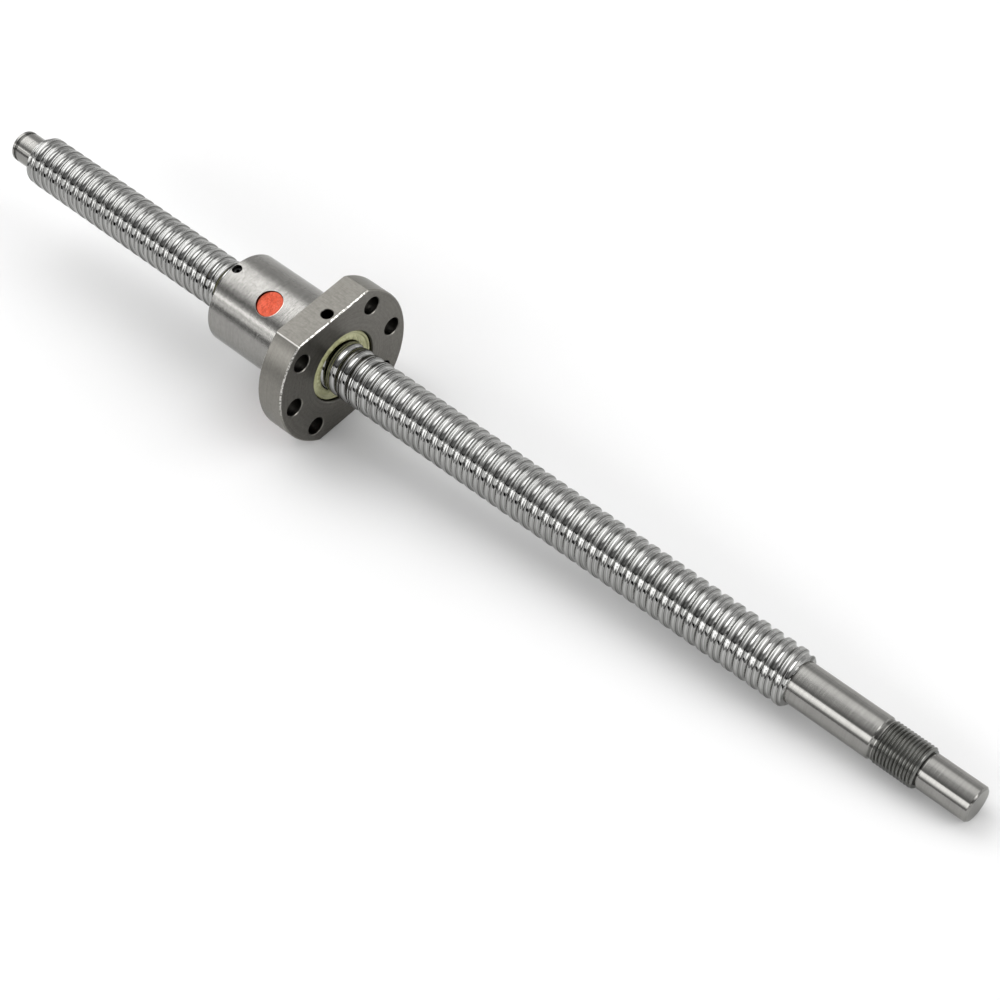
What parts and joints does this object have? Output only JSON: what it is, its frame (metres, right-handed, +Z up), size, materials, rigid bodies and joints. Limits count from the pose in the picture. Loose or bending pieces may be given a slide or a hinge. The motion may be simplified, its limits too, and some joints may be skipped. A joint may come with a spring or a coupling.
{
  "type": "ball screw",
  "caption": "Ball screw: a right-hand ball-thread shaft with machined ends carries a flanged nut with ball circuits, deflectors and wipers.",
  "frame": {"origin": "on the shaft's axis, midway between its two ends", "axes": "+X along the shaft from the short left journal to the drive end, +Y level and away from the picture's camera, +Z up and square to the flange's two flats"},
  "size_m": [0.352, 0.0478, 0.04],
  "materials": {
    "shaft_steel": "polished ball thread, ground journals",
    "nut_steel": "fine ground, satin",
    "deflector_steel": "satin",
    "ball_steel": "polished",
    "black_steel": "blackened",
    "wiper_plastic": "matt, pale yellow-green",
    "cap_plastic": "coral red, mottled"
  },
  "bodies": {
    "screw": {"screw_shaft": "shaft_steel"},
    "wipers": {"front_wiper": "wiper_plastic", "rear_wiper": "wiper_plastic"},
    "nut": {"nut_body": "nut_steel", "rear_wiper_screw": "black_steel", "deflector_1": "deflector_steel", "deflector_cap_1": "cap_plastic", "circuit_1_balls_a": "ball_steel", "circuit_1_balls_b": "ball_steel", "circuit_1_balls_c": "ball_steel", "deflector_2": "deflector_steel", "deflector_cap_2": "cap_plastic", "circuit_2_balls_a": "ball_steel", "circuit_2_balls_b": "ball_steel", "circuit_2_balls_c": "ball_steel", "deflector_3": "deflector_steel", "deflector_cap_3": "cap_plastic", "circuit_3_balls_a": "ball_steel", "circuit_3_balls_b": "ball_steel", "circuit_3_balls_c": "ball_steel"}
  },
  "joints": [
    {"name": "nut_travel", "type": "slide", "parent": "screw", "child": "wipers", "axis": [1, 0, 0], "range_m": [-0.0841, 0.1561]},
    {"name": "nut_spin", "type": "hinge", "parent": "wipers", "child": "nut", "pos_m": [0, 0, 0], "axis": [1, 0, 0], "range_deg": [-7560, 14040]}
  ],
  "couplings": [
    {"joint": "nut_travel", "follows": "nut_spin", "m_per_rad": 0.00063662}
  ]
}
